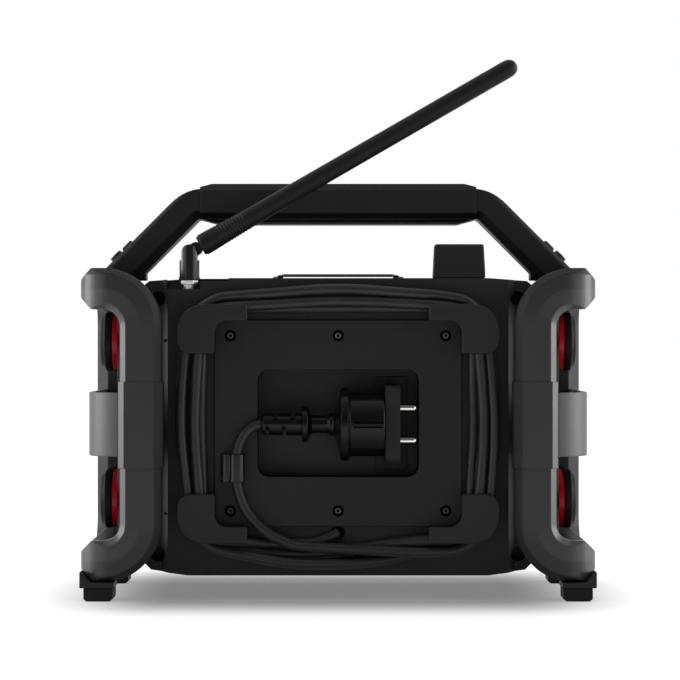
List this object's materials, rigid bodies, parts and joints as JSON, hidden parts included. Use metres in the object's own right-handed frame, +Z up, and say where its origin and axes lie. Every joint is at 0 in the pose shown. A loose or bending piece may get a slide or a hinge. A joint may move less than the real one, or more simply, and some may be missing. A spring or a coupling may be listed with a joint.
{
  "type": "jobsite radio",
  "caption": "Rugged jobsite radio with tubular side guards, carry handle, jointed rod antenna, and a mains lead wound on hooks round a parked plug at the back.",
  "frame": {"origin": "middle of the footprint, on the ground under the rubber feet", "axes": "+Z up, -Y towards the front with the display and the knobs, +Y towards the back with the lead, +X to the left of a viewer who faces the back"},
  "size_m": [0.302, 0.16, 0.3179],
  "materials": {
    "body_plastic": "fine texture",
    "panel_plastic": "satin",
    "black_rubber": "matte",
    "cord_rubber": "satin",
    "screw_steel": "zinc plated",
    "guard_grey": "satin",
    "band_grey": "satin",
    "bolt_black": "black oxide",
    "frame_black": "satin",
    "radiator_black": "satin",
    "trim_red": "semi gloss",
    "grille_grey": "satin",
    "speaker_metal": "satin",
    "lens_black": "polished",
    "board_green": "satin",
    "button_grey": "matte",
    "contact_brass": "bright",
    "antenna_nickel": "satin nickel",
    "antenna_black": "satin"
  },
  "bodies": {
    "base": {"rear_housing": "body_plastic", "front_housing": "body_plastic", "housing_gasket": "black_rubber", "housing_screws": "screw_steel", "service_panel": "panel_plastic", "panel_screws": "screw_steel", "plug_holder": "panel_plastic", "upper_hooks": "panel_plastic", "lower_hooks": "panel_plastic", "cord_clip": "panel_plastic", "cord_gland": "black_rubber", "cord_winding": "cord_rubber", "cord_tail": "cord_rubber", "plug_relief": "cord_rubber", "plug_body": "cord_rubber", "plug_pins": "screw_steel", "rear_guard_left": "guard_grey", "rear_guard_right": "guard_grey", "front_guard_left": "guard_grey", "front_guard_right": "guard_grey", "post_sleeves": "guard_grey", "side_band_left": "band_grey", "side_band_right": "band_grey", "band_bolts": "bolt_black", "foot_brackets": "frame_black", "rubber_feet": "black_rubber", "handle_frame": "frame_black", "handle_grip": "black_rubber", "handle_bolts": "bolt_black", "guard_brackets": "frame_black", "side_cover_left": "body_plastic", "side_cover_right": "body_plastic", "side_radiators": "radiator_black", "radiator_rings": "trim_red", "speakers": "speaker_metal", "speaker_cones": "radiator_black", "grille_left": "grille_grey", "grille_right": "grille_grey", "display_lens": "lens_black", "control_board": "board_green", "battery_bay": "panel_plastic", "battery_terminals": "contact_brass", "port_block": "panel_plastic", "antenna_jack": "antenna_nickel", "antenna_clip": "panel_plastic", "bail_eyes": "panel_plastic", "power_supply": "board_green"},
    "antenna_base": {"antenna_swivel": "antenna_nickel"},
    "antenna": {"antenna_rod": "antenna_black"},
    "bail": {"wire_bail": "screw_steel"},
    "volume": {"volume_knob": "button_grey"},
    "tuning": {"tuning_knob": "button_grey"},
    "door": {"battery_door": "panel_plastic"},
    "door_release": {"door_button": "trim_red"},
    "port_flap": {"port_cover": "black_rubber"},
    "key_1": {"button_1": "button_grey"},
    "key_2": {"button_2": "button_grey"},
    "key_3": {"button_3": "button_grey"},
    "key_4": {"button_4": "button_grey"},
    "key_5": {"button_5": "button_grey"}
  },
  "joints": [
    {"name": "antenna_turn", "type": "hinge", "parent": "base", "child": "antenna_base", "pos_m": [0.0881, 0.042, 0.19], "axis": [0, 0, 1], "range_deg": [-180, 0]},
    {"name": "antenna_tilt", "type": "hinge", "parent": "antenna_base", "child": "antenna", "pos_m": [0.0881, 0.042, 0.2038], "axis": [0, 1, 0], "range_deg": [-30, 60]},
    {"name": "bail_swing", "type": "hinge", "parent": "base", "child": "bail", "pos_m": [0, 0.03, 0.1888], "axis": [1, 0, 0], "range_deg": [-95, 0]},
    {"name": "volume_turn", "type": "hinge", "parent": "base", "child": "volume", "pos_m": [-0.078, -0.066, 0.157], "axis": [0, 1, 0], "continuous": true},
    {"name": "tuning_turn", "type": "hinge", "parent": "base", "child": "tuning", "pos_m": [0.078, -0.066, 0.157], "axis": [0, 1, 0], "continuous": true},
    {"name": "door_swing", "type": "hinge", "parent": "base", "child": "door", "pos_m": [0, -0.0678, 0.0275], "axis": [1, 0, 0], "range_deg": [0, 95]},
    {"name": "door_release_press", "type": "slide", "parent": "door", "child": "door_release", "axis": [0, 1, 0], "range_m": [0, 0.0012], "stiffness_N_per_m": 400},
    {"name": "port_flap_swing", "type": "hinge", "parent": "base", "child": "port_flap", "pos_m": [0.072, -0.06725, 0.02245], "axis": [1, 0, 0], "range_deg": [0, 90]},
    {"name": "key_1_press", "type": "slide", "parent": "base", "child": "key_1", "axis": [0, 1, 0], "range_m": [0, 0.0012], "stiffness_N_per_m": 400},
    {"name": "key_2_press", "type": "slide", "parent": "base", "child": "key_2", "axis": [0, 1, 0], "range_m": [0, 0.0012], "stiffness_N_per_m": 400},
    {"name": "key_3_press", "type": "slide", "parent": "base", "child": "key_3", "axis": [0, 1, 0], "range_m": [0, 0.0012], "stiffness_N_per_m": 400},
    {"name": "key_4_press", "type": "slide", "parent": "base", "child": "key_4", "axis": [0, 1, 0], "range_m": [0, 0.0012], "stiffness_N_per_m": 400},
    {"name": "key_5_press", "type": "slide", "parent": "base", "child": "key_5", "axis": [0, 1, 0], "range_m": [0, 0.0012], "stiffness_N_per_m": 400}
  ]
}
